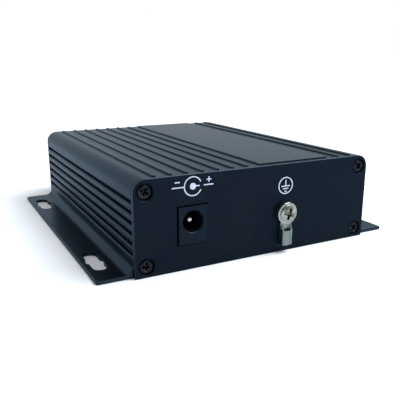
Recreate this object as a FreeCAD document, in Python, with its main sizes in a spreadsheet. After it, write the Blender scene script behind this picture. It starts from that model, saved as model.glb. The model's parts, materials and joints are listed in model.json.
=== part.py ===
import FreeCAD, Part
import os
import re
import Sketcher

# Fibre optic video converter: a black extruded box that turns camera video into light for one fibre.
# Millimetres. X runs across, Y along the extrusion, Z up. The origin is on the underside, at the middle
# of the extrusion. The power panel faces -Y and the port panel, with the video and fibre sockets, +Y.

DIMENSIONS = {
    # extruded housing
    "body_width": 82.4,
    "body_height": 28.0,
    "extrusion_length": 100.0,
    "wall_thickness": 2.5,
    "roof_thickness": 2.4,
    "floor_thickness": 2.0,
    "shoulder_radius": 4.0,
    "flange_reach": 10.6,
    "flange_thickness": 1.1,
    "flange_edge_radius": 0.4,
    "flange_corner_radius": 0.7,
    "cove_radius": 2.8,
    # grooves between the ribs of the sides
    "side_groove_low": 6.5,
    "side_groove_pitch": 3.0,
    "side_groove_width": 0.9,
    "side_groove_depth": 1.15,
    "side_rib_radius": 0.65,
    # ribs that stand on the roof
    "roof_rib_pitch": 4.925,
    "roof_rib_width": 1.05,
    "roof_rib_height": 0.45,
    "roof_rib_radius": 0.38,
    # keyhole slots in the flanges
    "slot_width": 4.3,
    "slot_length": 15.2,
    "slot_eye_radius": 2.95,
    "slot_offset": 6.5,
    "slot_spacing": 70.0,
    # screw ports in the four inner corners, and the rails that hold the board
    "port_inset": 3.45,
    "port_low": 3.1,
    "port_high": 24.4,
    "port_radius": 1.0,
    "port_block_width": 3.55,
    "port_block_height": 3.8,
    "rail_depth": 1.5,
    "rail_thickness": 1.2,
    # end panels and their sunk screws
    "panel_thickness": 1.5,
    "panel_inset": 0.05,
    "panel_chamfer": 0.2,
    "dimple_radius": 2.7,
    "dimple_depth": 0.2,
    "sink_radius": 2.4,
    "sink_floor_radius": 2.2,
    "sink_depth": 1.0,
    "screw_hole_radius": 1.05,
    "screw_recess": 0.35,
    "screw_head_radius": 1.95,
    "screw_head_edge": 0.25,
    "screw_head_rim": 0.35,
    "screw_seat_radius": 1.3,
    "screw_radius": 0.98,
    "screw_length": 9.0,
    "cross_reach": 1.35,
    "cross_width": 0.76,
    "cross_depth": 0.8,
    # circuit board
    "board_bottom": 6.3,
    "board_thickness": 1.6,
    "board_width": 76.8,
    "board_length": 99.4,
    "board_clearance": 0.1,
    "tail_reach": 1.5,
    "tail_hole_radius": 0.7,
    # power socket
    "jack_across": -23.6,
    "jack_axis": 6.5,
    "jack_width": 9.0,
    "jack_height": 11.0,
    "jack_depth": 14.2,
    "jack_block_depth": 3.6,
    "jack_stand": 0.5,
    "jack_window_gap": 0.35,
    "jack_bore_radius": 3.15,
    "jack_bore_depth": 10.5,
    "jack_bore_chamfer": 0.3,
    "jack_pin_radius": 1.0,
    "jack_pin_tip": 0.8,
    "jack_pin_recess": 2.0,
    "jack_tab_width": 2.2,
    "jack_tab_thickness": 0.5,
    "jack_spring_width": 2.4,
    "jack_spring_thickness": 0.4,
    "jack_spring_start": 4.5,
    "jack_spring_length": 8.5,
    "jack_spring_bump": 0.3,
    "jack_channel_gap": 0.1,
    "jack_tail_place": 8.0,
    "jack_tail_hole_radius": 1.4,
    # earth terminal
    "ground_across": 8.35,
    "ground_height": 12.6,
    "ground_hole_radius": 1.6,
    "lug_radius": 3.4,
    "lug_thickness": 0.8,
    "lug_neck_width": 4.1,
    "lug_barrel_top": 7.2,
    "lug_barrel_bottom": 2.6,
    "lug_barrel_width": 3.7,
    "lug_barrel_depth": 2.4,
    "lug_barrel_radius": 1.0,
    "lug_wall": 0.55,
    "lug_mouth_rise": 1.8,
    "lug_inner_radius": 0.25,
    "lug_seam_place": 0.4,
    "lug_seam_width": 0.3,
    "lug_lap": 0.25,
    "washer_radius": 3.5,
    "washer_thickness": 0.8,
    "ground_head_radius": 2.8,
    "ground_head_height": 1.1,
    "ground_head_flat": 1.3,
    "ground_head_rim": 0.35,
    "ground_head_dome": 3.5,
    "ground_head_edge": 0.15,
    "ground_screw_radius": 1.48,
    "ground_screw_length": 8.4,
    "ground_cross_reach": 2.1,
    "ground_cross_width": 1.2,
    "ground_cross_depth": 1.4,
    "lock_washer_radius": 3.0,
    "lock_washer_thickness": 0.7,
    "lock_washer_gap": 0.6,
    "ground_nut_flats": 5.5,
    "ground_nut_height": 2.4,
    # bayonet video sockets, with the thread at its pitch radius
    "video_first": 31.2,
    "video_pitch": 15.0,
    "port_axis": 15.2,
    "video_hole_radius": 6.4,
    "video_back_radius": 6.6,
    "video_back_length": 12.0,
    "video_thread_radius": 6.05,
    "video_thread_length": 6.0,
    "video_neck_radius": 4.6,
    "video_barrel_radius": 4.8,
    "video_barrel_start": 10.5,
    "video_length": 14.2,
    "video_bore_radius": 4.1,
    "video_bore_end": 4.0,
    "video_core_radius": 2.6,
    "video_nose_radius": 2.45,
    "video_nose_end": 12.8,
    "video_edge_radius": 0.3,
    "video_lug_radius": 1.0,
    "video_lug_root": 4.3,
    "video_lug_reach": 5.5,
    "video_lug_place": 9.4,
    "video_post_radius": 0.6,
    "video_post_across": 2.54,
    "video_post_place": 9.0,
    "video_post_root": 3.6,
    "contact_radius": 0.98,
    "contact_end": 12.4,
    "contact_hole_radius": 0.68,
    "contact_hole_depth": 4.5,
    "contact_tail_radius": 0.5,
    "contact_tail_place": 12.75,
    "video_washer_radius": 7.4,
    "video_washer_thickness": 0.7,
    "video_nut_flats": 14.0,
    "video_nut_height": 2.2,
    "nut_chamfer_height": 0.35,
    # threaded fibre socket, with the thread at its pitch radius
    "fibre_across": -31.2,
    "fibre_hole_radius": 4.8,
    "fibre_flange_radius": 5.6,
    "fibre_flange_height": 1.8,
    "fibre_thread_radius": 3.76,
    "fibre_thread_end": 9.8,
    "fibre_bore_radius": 2.9,
    "fibre_bore_end": 0.2,
    "fibre_back_radius": 4.7,
    "fibre_back_length": 9.0,
    "fibre_key_width": 2.1,
    "fibre_key_length": 3.0,
    "fibre_sleeve_radius": 1.6,
    "fibre_sleeve_end": 7.5,
    "fibre_sleeve_back": 8.0,
    "fibre_sleeve_gap": 0.3,
    "fibre_edge_radius": 0.4,
    "fibre_washer_thickness": 0.6,
    "fibre_nut_flats": 12.0,
    "fibre_nut_height": 2.2,
    "ferrule_radius": 1.24,
    "ferrule_length": 14.0,
    # optical transceiver behind the fibre socket
    "optic_front": 10.0,
    "optic_length": 16.0,
    "optic_width": 10.0,
    "optic_height": 12.4,
    "optic_edge_radius": 1.0,
    "can_radius": 2.3,
    "can_rim_radius": 2.8,
    "can_rim_height": 1.0,
    "can_length": 4.0,
    "can_lead_width": 0.45,
    "can_lead_pitch": 1.4,
    "can_lead_run": 1.8,
    # status lights
    "light_across": -23.0,
    "light_low": 10.2,
    "light_pitch": 5.0,
    "light_radius": 1.5,
    "light_hole_radius": 1.55,
    "light_rim_radius": 1.9,
    "light_rim_height": 1.0,
    "light_back": 4.0,
    "light_end": 1.6,
    "light_dome": 1.35,
    "light_lead_across": 1.05,
    "light_lead_width": 0.5,
    "light_lead_first": 2.0,
    "light_lead_step": 2.2,
    # parts on the board
    "processor_size": 17.0,
    "processor_height": 1.5,
    "processor_across": 4.0,
    "processor_along": 2.0,
    "mark_radius": 0.6,
    "mark_depth": 0.1,
    "mark_inset": 2.0,
    "video_chip_size": 6.0,
    "video_chip_height": 0.9,
    "video_chip_along": 27.0,
    "chip_edge_radius": 0.3,
    "crystal_length": 11.4,
    "crystal_width": 4.6,
    "crystal_height": 3.6,
    "crystal_edge_radius": 2.2,
    "crystal_across": -14.0,
    "crystal_along": 6.0,
    "inductor_size": 10.0,
    "inductor_height": 5.0,
    "inductor_edge_radius": 2.0,
    "inductor_across": -24.0,
    "inductor_along": -24.0,
    "capacitor_radius": 4.0,
    "capacitor_height": 10.0,
    "capacitor_groove": 0.4,
    "capacitor_groove_height": 2.0,
    "capacitor_first": -6.0,
    "capacitor_pitch": 10.0,
    "capacitor_along": -32.0,
    "regulator_width": 6.5,
    "regulator_length": 6.1,
    "regulator_height": 2.3,
    "regulator_tab_width": 5.3,
    "regulator_tab_length": 1.1,
    "regulator_plate": 0.5,
    "regulator_lead_width": 0.8,
    "regulator_lead_length": 2.6,
    "regulator_lead_across": 2.3,
    "regulator_across": -24.0,
    "regulator_along": -8.0,
}

VIDEO_JACKS = 4
STATUS_LIGHTS = 3
CAPACITORS = 3
SIDE_GROOVES = 6
# Fifteen rib places cross the roof. One flat raised band takes the places from the middle one to the fifth.
ROOF_RIBS = [-7, -6, -5, -4, -3, -2, -1, 6, 7]
ROOF_BAND = 5
# How far the recess of each screw is turned, in degrees clockwise as its head is looked at
SCREW_TURNS = {"left_port_high": 30, "left_port_low": 10, "right_port_high": 40, "right_port_low": 35}
EARTH_TURN = 20

HALF_WIDTH = "body_width / 2"
HALF_LENGTH = "extrusion_length / 2"
POWER_FACE = "-(extrusion_length / 2 + panel_thickness)"
PORT_FACE = "extrusion_length / 2 + panel_thickness"
BOARD_TOP = "board_bottom + board_thickness"
TAIL_END = "board_bottom - tail_reach"
JACK_FACE = f"{POWER_FACE} - jack_stand"
JACK_AXIS = f"{BOARD_TOP} + jack_axis"

X_AXIS = FreeCAD.Vector(1, 0, 0)
Y_AXIS = FreeCAD.Vector(0, 1, 0)
Z_AXIS = FreeCAD.Vector(0, 0, 1)
UPRIGHT = FreeCAD.Rotation()
HALF_TURN = FreeCAD.Rotation(Z_AXIS, 180)
# A shape that is made along Z is turned to run along another axis by one of these.
ALONG_X = FreeCAD.Rotation(Y_AXIS, 90)
ALONG_Y = FreeCAD.Rotation(X_AXIS, -90)
BACK_ALONG_Y = FreeCAD.Rotation(X_AXIS, 90)
# X to Y, Y to Z and Z to X, for an outline that is drawn from the side
SIDE_ON = FreeCAD.Rotation(FreeCAD.Vector(1, 1, 1), 120)

doc = FreeCAD.newDocument("video_converter")
sheet = doc.addObject("Spreadsheet::Sheet", "Dimensions")
for row, (alias, size) in enumerate(DIMENSIONS.items(), start=1):
    sheet.set(f"A{row}", alias)
    sheet.set(f"B{row}", str(size))
    sheet.setAlias(f"B{row}", alias)
doc.recompute()
sub_parts = []


# Helpers: each makes one object of the document, with its sizes bound to the sheet


def formula(text):
    """The expression that text stands for: each alias in it gets the sheet's name in front."""
    def full_name(word):
        return f"Dimensions.{word[0]}" if word[0] in DIMENSIONS else word[0]

    return re.sub(r"[a-z_]+", full_name, str(text))


def measure(text):
    """The number that a formula over the sheet gives now."""
    return float(sheet.evalExpression(formula(text)))


def bind(obj, **sizes):
    for name, text in sizes.items():
        obj.setExpression(name, formula(text))
    return obj


def place(obj, x=0, y=0, z=0, turn=UPRIGHT):
    obj.Placement = FreeCAD.Placement(FreeCAD.Vector(), turn)
    for axis, text in (("x", x), ("y", y), ("z", z)):
        obj.setExpression(f"Placement.Base.{axis}", formula(text))
    return obj


def box(name, length, width, height, x, y, z):
    """A box from its lowest corner."""
    obj = doc.addObject("Part::Box", name)
    bind(obj, Length=length, Width=width, Height=height)
    return place(obj, x, y, z)


def middle_box(name, length, width, height, x, y, z):
    """A box that stands on z, with x and y at its middle."""
    return box(name, length, width, height, f"{x} - ({length}) / 2", f"{y} - ({width}) / 2", z)


def cylinder(name, radius, length, x, y, z, turn=UPRIGHT):
    obj = doc.addObject("Part::Cylinder", name)
    bind(obj, Radius=radius, Height=length)
    return place(obj, x, y, z, turn)


def cone(name, start_radius, end_radius, length, x, y, z, turn=UPRIGHT):
    obj = doc.addObject("Part::Cone", name)
    bind(obj, Radius1=start_radius, Radius2=end_radius, Height=length)
    return place(obj, x, y, z, turn)


def hexagon(name, flats, height):
    """A hexagonal prism along Y from y 0, by its size across flats, with a corner at its top."""
    obj = doc.addObject("Part::Prism", name)
    obj.Polygon = 6
    bind(obj, Circumradius=f"({flats}) / sqrt(3)", Height=height)
    return place(obj, turn=ALONG_Y.multiply(FreeCAD.Rotation(Z_AXIS, 30)))


def nut(name, flats, height, bore):
    """A nut along Y from y 0, its corners turned off to a cone at both faces."""
    corner = f"({flats}) / sqrt(3)"
    rim = f"({flats}) / 2"
    blank = [
        (bore, 0),
        (rim, 0),
        (corner, "nut_chamfer_height"),
        (corner, f"{height} - nut_chamfer_height"),
        (rim, height),
        (bore, height),
    ]
    return common(name, [hexagon(f"{name}_hexagon", flats, height), turned(f"{name}_blank", blank)])


def outline(name, corners):
    """A closed sketch through corners, each (across, up) or (across, up, rounding radius)."""
    sketch = doc.addObject("Sketcher::SketchObject", name)
    points = [FreeCAD.Vector(measure(corner[0]), measure(corner[1]), 0) for corner in corners]
    count = len(points)
    for i in range(count):
        sketch.addGeometry(Part.LineSegment(points[i], points[(i + 1) % count]))
    for i in range(count):
        sketch.addConstraint(Sketcher.Constraint("Coincident", i, 2, (i + 1) % count, 1))
    for i, corner in enumerate(corners):
        for kind, text in (("DistanceX", corner[0]), ("DistanceY", corner[1])):
            added = sketch.addConstraint(Sketcher.Constraint(kind, -1, 1, i, 1, measure(text)))
            sketch.setExpression(f"Constraints[{added}]", formula(text))
    for i, corner in enumerate(corners):
        if len(corner) == 3:
            arc = sketch.GeometryCount
            sketch.fillet(i, 1, measure(corner[2]), True, True)
            added = sketch.addConstraint(Sketcher.Constraint("Radius", arc, measure(corner[2])))
            sketch.setExpression(f"Constraints[{added}]", formula(corner[2]))
    return sketch


def extrusion(name, corners, length, direction, turn):
    sketch = outline(f"{name}_outline", corners)
    place(sketch, turn=turn)
    obj = doc.addObject("Part::Extrusion", name)
    obj.Base = sketch
    obj.DirMode = "Custom"
    obj.Dir = direction
    obj.Solid = True
    return bind(obj, LengthFwd=length)


def front_prism(name, corners, length, x=0, y=0, z=0):
    """An outline in X and Z, carried along Y from y."""
    return place(extrusion(name, corners, length, Y_AXIS, BACK_ALONG_Y), x, y, z)


def side_prism(name, corners, length, x=0, y=0, z=0):
    """An outline in Y and Z, carried along X from x."""
    return place(extrusion(name, corners, length, X_AXIS, SIDE_ON), x, y, z)


def plan_prism(name, corners, height, x=0, y=0, z=0):
    """An outline in X and Y, carried up from z."""
    return place(extrusion(name, corners, height, Z_AXIS, UPRIGHT), x, y, z)


def turned(name, corners, x=0, y=0, z=0, turn=UPRIGHT):
    """A turned piece about an axis along Y, its outline given as (radius, along)."""
    obj = doc.addObject("Part::Revolution", name)
    obj.Source = outline(f"{name}_outline", corners)
    obj.Axis = Y_AXIS
    obj.Angle = 360
    obj.Solid = True
    return place(obj, x, y, z, turn)


def fuse(name, pieces):
    obj = doc.addObject("Part::MultiFuse", name)
    obj.Shapes = pieces
    obj.Refine = True
    return obj


def cut(name, base, tools):
    obj = doc.addObject("Part::Cut", name)
    obj.Base = base
    obj.Tool = tools[0] if len(tools) == 1 else fuse(f"{name}_tools", tools)
    return obj


def common(name, pieces):
    obj = doc.addObject("Part::MultiCommon", name)
    obj.Shapes = pieces
    return obj


def compound(name, pieces):
    obj = doc.addObject("Part::Compound", name)
    obj.Links = pieces
    return obj


def copy(name, master, x=0, y=0, z=0, turn=UPRIGHT):
    """The master piece again at another place."""
    return place(compound(name, [master]), x, y, z, turn)


def sub_part(obj, node):
    """Names a finished piece, which is then written to a file of that name."""
    obj.Label = node
    sub_parts.append(obj)
    return obj


def both_sides(right):
    """A symmetric outline from its right half, listed from the bottom up."""
    left = [(f"-({corner[0]})", *corner[1:]) for corner in reversed(right)]
    return right + left


def rectangle(length, width, *radius):
    half_length = f"({length}) / 2"
    half_width = f"({width}) / 2"
    return both_sides([(half_length, f"-{half_width}", *radius), (half_length, half_width, *radius)])


def cross_recess(name, reach, width, depth):
    """The cutter for a cross recess in a screw head, from y 0 inwards, tapered towards its end."""
    wings = []
    for wing, across, up in (("flat", reach, f"{width} / 2"), ("tall", f"{width} / 2", reach)):
        obj = doc.addObject("Part::Wedge", f"{name}_{wing}")
        bind(obj, Xmin=f"-({across})", Xmax=across, Zmin=f"-({up})", Zmax=up, Ymin=0, Ymax=depth)
        bind(obj, X2min=f"-({across}) / 2", X2max=f"({across}) / 2")
        bind(obj, Z2min=f"-({up}) / 2", Z2max=f"({up}) / 2")
        wings.append(obj)
    return fuse(name, wings)


def split_washer(name, outer, inner, thickness, gap):
    """A ring from y 0 along Y, with one slit at its top."""
    ring = turned(f"{name}_ring", [(inner, 0), (outer, 0), (outer, thickness), (inner, thickness)])
    slit = box(f"{name}_slit", gap, thickness, outer, f"-({gap}) / 2", 0, 0)
    return cut(name, ring, [slit])


# Housing


def groove_cutters():
    """Grooves with their mouth in the side walls, whose rounded lips round the ribs between them."""
    half = "side_groove_width / 2"
    lip = f"{half} + 1.5 * side_rib_radius"
    right = [(half, "-side_groove_depth"), (half, 0, "side_rib_radius"), (lip, 0), (lip, "side_rib_radius")]
    side = front_prism("side_groove", both_sides(right), "extrusion_length", y=f"-({HALF_LENGTH})")
    cutters = []
    for i in range(SIDE_GROOVES):
        height = f"side_groove_low + {i} * side_groove_pitch"
        for sign, word in ((1, "right"), (-1, "left")):
            turn = FreeCAD.Rotation(Y_AXIS, 90 * sign)
            cutters.append(copy(f"side_groove_{word}_{i}", side, f"{sign} * {HALF_WIDTH}", 0, height, turn))
    return cutters


def roof_bar(name, width, x):
    """A low bar along the roof, rooted in it, with rounded top edges."""
    half = f"({width}) / 2"
    right = [(half, "-roof_rib_height"), (half, "roof_rib_height", "roof_rib_radius")]
    return front_prism(name, both_sides(right), "extrusion_length", x, f"-({HALF_LENGTH})", "body_height")


def roof_bars():
    band_width = f"{ROOF_BAND} * roof_rib_pitch + roof_rib_width"
    bars = [roof_bar("roof_band", band_width, f"{ROOF_BAND} * roof_rib_pitch / 2")]
    for i in ROOF_RIBS:
        bars.append(roof_bar(f"roof_rib_{i + 7}", "roof_rib_width", f"{i} * roof_rib_pitch"))
    return bars


def slot_cutters():
    """Four keyhole slots: a long slot with a round eye at its middle for the screw's head."""
    thickness = "3 * flange_thickness"
    straight = "slot_length - slot_width"
    pieces = [
        middle_box("slot_run", "slot_width", straight, thickness, 0, 0, "-flange_thickness"),
        cylinder("slot_eye", "slot_eye_radius", thickness, 0, 0, "-flange_thickness"),
    ]
    for sign, word in ((1, "far"), (-1, "near")):
        end = f"{sign} * ({straight}) / 2"
        pieces.append(cylinder(f"slot_end_{word}", "slot_width / 2", thickness, 0, end, "-flange_thickness"))
    slot = fuse("slot", pieces)
    cutters = []
    for across in (1, -1):
        for along in (1, -1):
            x = f"{across} * ({HALF_WIDTH} + slot_offset)"
            y = f"{along} * slot_spacing / 2"
            cutters.append(copy(f"slot_{across + 1}_{along + 1}", slot, x, y))
    return cutters


def screw_places():
    """The four corner screws as (word, x, z)."""
    places = []
    for sign, side in ((1, "right"), (-1, "left")):
        for height in ("port_low", "port_high"):
            places.append((f"{side}_{height}", f"{sign} * ({HALF_WIDTH} - port_inset)", height))
    return places


def housing():
    tip = f"{HALF_WIDTH} + flange_reach"
    outside = [
        (tip, 0),
        (tip, "flange_thickness", "flange_edge_radius"),
        (HALF_WIDTH, "flange_thickness", "cove_radius"),
        (HALF_WIDTH, "body_height", "shoulder_radius"),
    ]
    inner = f"{HALF_WIDTH} - wall_thickness"
    block = f"{inner} - port_block_width"
    roof = "body_height - roof_thickness"
    slot_low = "board_bottom"
    slot_high = f"{BOARD_TOP} + board_clearance"
    inside = [
        (block, "floor_thickness"),
        (block, slot_low),
        (inner, slot_low),
        (inner, slot_high),
        (f"{inner} - rail_depth", slot_high),
        (f"{inner} - rail_depth", f"{slot_high} + rail_thickness"),
        (inner, f"{slot_high} + rail_thickness"),
        (inner, f"{roof} - port_block_height"),
        (block, f"{roof} - port_block_height"),
        (block, roof),
    ]
    start = f"-({HALF_LENGTH})"
    trunk = front_prism("housing_trunk", both_sides(outside), "extrusion_length", y=start)
    billet = fuse("housing_billet", [trunk] + roof_bars())
    footprint = rectangle(f"2 * ({tip})", "extrusion_length", "flange_corner_radius")
    corners = plan_prism("housing_footprint", footprint, "body_height + 2 * roof_rib_height")
    tools = [front_prism("housing_hollow", both_sides(inside), "extrusion_length", y=start)]
    for word, x, z in screw_places():
        tools.append(cylinder(f"screw_port_{word}", "port_radius", "extrusion_length", x, start, z, ALONG_Y))
    tools += groove_cutters()
    tools += slot_cutters()
    sub_part(cut("housing_cut", common("housing_block", [billet, corners]), tools), "housing")


# End panels and their screws


def panel_blank():
    """A plate from y 0 inwards with rounded top corners, chamfered round its outer face."""
    half = f"{HALF_WIDTH} - panel_inset"
    chamfer = "panel_chamfer"
    rim = both_sides([(half, 0), (half, "body_height", "shoulder_radius")])
    low = (f"{half} - {chamfer}", chamfer)
    high = (f"{half} - {chamfer}", f"body_height - {chamfer}", f"shoulder_radius - {chamfer}")
    bevel = doc.addObject("Part::Loft", "panel_bevel")
    bevel.Sections = [
        place(outline("panel_face_edge", both_sides([low, high])), turn=BACK_ALONG_Y),
        place(outline("panel_rim_edge", rim), y=chamfer, turn=BACK_ALONG_Y),
    ]
    bevel.Solid = True
    bevel.Ruled = True
    plate = front_prism("panel_plate", rim, f"panel_thickness - {chamfer}", y=chamfer)
    return fuse("panel_blank", [bevel, plate])


def panel_sink():
    """The cutter for a screw's seat: a shallow dimple, a round pocket with a flat floor and a hole."""
    corners = [
        (0, 0),
        ("dimple_radius", 0),
        ("sink_radius", "dimple_depth"),
        ("sink_floor_radius", "sink_depth"),
        ("screw_hole_radius", "sink_depth"),
        ("screw_hole_radius", "panel_thickness"),
        (0, "panel_thickness"),
    ]
    return turned("panel_sink", corners)


def end_panel(node, blank, sink, face, turn, tools):
    """A panel with a screw's seat in each corner, open on its outer face."""
    plate = copy(f"{node}_plate", blank, y=face, turn=turn)
    for word, x, z in screw_places():
        tools.append(copy(f"{node}_sink_{word}", sink, x, face, z, turn))
    sub_part(cut(f"{node}_cut", plate, tools), node)


def panel_screw():
    """A screw along Y with a flat tapered head, the head's face at y 0."""
    head_height = "sink_depth - screw_recess"
    corners = [
        (0, 0),
        ("screw_head_radius", 0, "screw_head_edge"),
        ("screw_head_radius", "screw_head_rim"),
        ("screw_seat_radius", head_height),
        ("screw_radius", head_height),
        ("screw_radius", "screw_length"),
        (0, "screw_length"),
    ]
    shank = turned("panel_screw_body", corners)
    recess = cross_recess("panel_screw_recess", "cross_reach", "cross_width", "cross_depth")
    return cut("panel_screw", shank, [recess])


def panel_screws(master, node, y, turn):
    screws = []
    for word, x, z in screw_places():
        turned_in = turn.multiply(FreeCAD.Rotation(Y_AXIS, SCREW_TURNS[word]))
        screws.append(copy(f"{node}_{word}", master, x, y, z, turned_in))
    sub_part(compound(f"{node}_group", screws), node)


def power_panel(blank, sink):
    gap = "jack_window_gap"
    thickness = "panel_thickness"
    window = box(
        "jack_window",
        f"jack_width + 2 * {gap}",
        thickness,
        f"jack_height + 2 * {gap}",
        f"jack_across - jack_width / 2 - {gap}",
        POWER_FACE,
        f"{BOARD_TOP} - {gap}",
    )
    x = "ground_across"
    z = "ground_height"
    earth = cylinder("ground_hole", "ground_hole_radius", thickness, x, POWER_FACE, z, ALONG_Y)
    end_panel("power_panel", blank, sink, POWER_FACE, UPRIGHT, [window, earth])


def port_panel(blank, sink):
    tools = []

    def hole(name, radius, x, z):
        tools.append(cylinder(name, radius, "panel_thickness", x, HALF_LENGTH, z, ALONG_Y))

    for i in range(VIDEO_JACKS):
        hole(f"video_hole_{i + 1}", "video_hole_radius", f"video_first - {i} * video_pitch", "port_axis")
    hole("fibre_hole", "fibre_hole_radius", "fibre_across", "port_axis")
    for i in range(STATUS_LIGHTS):
        hole(f"light_hole_{i + 1}", "light_hole_radius", "light_across", f"light_low + {i} * light_pitch")
    end_panel("port_panel", blank, sink, PORT_FACE, HALF_TURN, tools)


# Power socket


def dc_jack():
    """A moulded block with a round barrel behind it. A strip contact lies in a channel under the bore."""
    x = "jack_across"
    z = JACK_AXIS
    low = f"{z} - jack_bore_radius"
    left = f"{x} - jack_width / 2"
    block = box("jack_block", "jack_width", "jack_block_depth", "jack_height", left, JACK_FACE, BOARD_TOP)
    foot = box("jack_foot", "jack_width", "jack_depth", "jack_axis", left, JACK_FACE, BOARD_TOP)
    barrel = cylinder("jack_barrel", "jack_width / 2", "jack_depth", x, JACK_FACE, z, ALONG_Y)
    mouth = "jack_bore_radius + jack_bore_chamfer"
    wide = "jack_spring_width + 2 * jack_channel_gap"
    long = "jack_depth - jack_spring_start + jack_channel_gap"
    high = "2 * jack_spring_thickness + jack_spring_bump"
    channel_left = f"{x} - ({wide}) / 2"
    channel_start = f"{JACK_FACE} + jack_spring_start - jack_channel_gap"
    strip_floor = f"{low} - jack_spring_thickness"
    tail = f"{JACK_FACE} + jack_tail_place"
    tail_height = f"{low} - ({BOARD_TOP})"
    tools = [
        cylinder("jack_bore", "jack_bore_radius", "jack_bore_depth", x, JACK_FACE, z, ALONG_Y),
        cone("jack_mouth", mouth, "jack_bore_radius", "jack_bore_chamfer", x, JACK_FACE, z, ALONG_Y),
        cylinder("jack_pin_hole", "jack_pin_radius", "jack_depth", x, JACK_FACE, z, ALONG_Y),
        box("jack_channel", wide, long, high, channel_left, channel_start, strip_floor),
        middle_box("jack_tail_slot", wide, "2 * jack_tab_thickness", tail_height, x, tail, BOARD_TOP),
    ]
    sub_part(cut("jack_moulding", fuse("jack_solid", [block, foot, barrel]), tools), "dc_jack_housing")

    pin_length = "jack_depth - jack_pin_recess + jack_tab_thickness"
    pin = turned(
        "jack_pin_body",
        [(0, 0), ("jack_pin_radius", 0, "jack_pin_tip"), ("jack_pin_radius", pin_length), (0, pin_length)],
        x, f"{JACK_FACE} + jack_pin_recess", z,
    )
    tab_place = f"{JACK_FACE} + jack_depth + jack_tab_thickness / 2"
    tab_height = f"{z} - ({TAIL_END})"
    tab_width = "jack_tab_width"
    tab = middle_box("jack_pin_tab", tab_width, "jack_tab_thickness", tab_height, x, tab_place, TAIL_END)
    sub_part(fuse("jack_pin_all", [pin, tab]), "dc_jack_pin")

    start = f"{JACK_FACE} + jack_spring_start"
    width = "jack_spring_width"
    left = f"{x} - {width} / 2"
    strip = box("jack_strip", width, "jack_spring_length", "jack_spring_thickness", left, start, strip_floor)
    bump_radius = "jack_spring_bump + jack_spring_thickness"
    bump_place = f"{start} + 2 * ({bump_radius})"
    bump = cylinder("jack_bump", bump_radius, width, left, bump_place, strip_floor, ALONG_X)
    room = box("jack_bump_room", width, "jack_spring_length", bump_radius, left, start, strip_floor)
    rise = common("jack_bump_top", [bump, room])
    leg_height = f"{strip_floor} - ({TAIL_END})"
    leg = middle_box("jack_spring_leg", width, "jack_tab_thickness", leg_height, x, tail, TAIL_END)
    sub_part(fuse("jack_spring_all", [strip, rise, leg]), "dc_jack_spring")


# Earth terminal: from the panel outwards a ring terminal, a flat washer and the screw's head


def ground_terminal():
    x = "ground_across"
    z = "ground_height"
    washer_back = f"{POWER_FACE} - lug_thickness"
    head_back = f"{washer_back} - washer_thickness"
    ground_lug(x, z)

    ring = [
        ("ground_hole_radius", "-washer_thickness"),
        ("washer_radius", "-washer_thickness"),
        ("washer_radius", 0),
        ("ground_hole_radius", 0),
    ]
    sub_part(turned("ground_flat_ring", ring, x, washer_back, z), "ground_washer")

    head = [
        (0, "-ground_head_height"),
        ("ground_head_flat", "-ground_head_height", "ground_head_dome"),
        ("ground_head_radius", "-ground_head_rim", "ground_head_edge"),
        ("ground_head_radius", 0),
        ("ground_screw_radius", 0),
        ("ground_screw_radius", "ground_screw_length"),
        (0, "ground_screw_length"),
    ]
    recess = cross_recess("ground_recess", "ground_cross_reach", "ground_cross_width", "ground_cross_depth")
    place(recess, y="-ground_head_height", turn=FreeCAD.Rotation(Y_AXIS, EARTH_TURN))
    screw = cut("ground_screw_cut", turned("ground_screw_body", head), [recess])
    sub_part(place(screw, x, head_back, z), "ground_screw")

    rim = "lock_washer_radius"
    lock = split_washer("ground_ring", rim, "ground_hole_radius", "lock_washer_thickness", "lock_washer_gap")
    sub_part(place(lock, x, f"-({HALF_LENGTH})", z), "ground_lock_washer")
    nut_front = f"-({HALF_LENGTH}) + lock_washer_thickness"
    small_nut = nut("ground_hex", "ground_nut_flats", "ground_nut_height", "ground_screw_radius")
    sub_part(place(small_nut, x, nut_front, z), "ground_nut")


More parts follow.
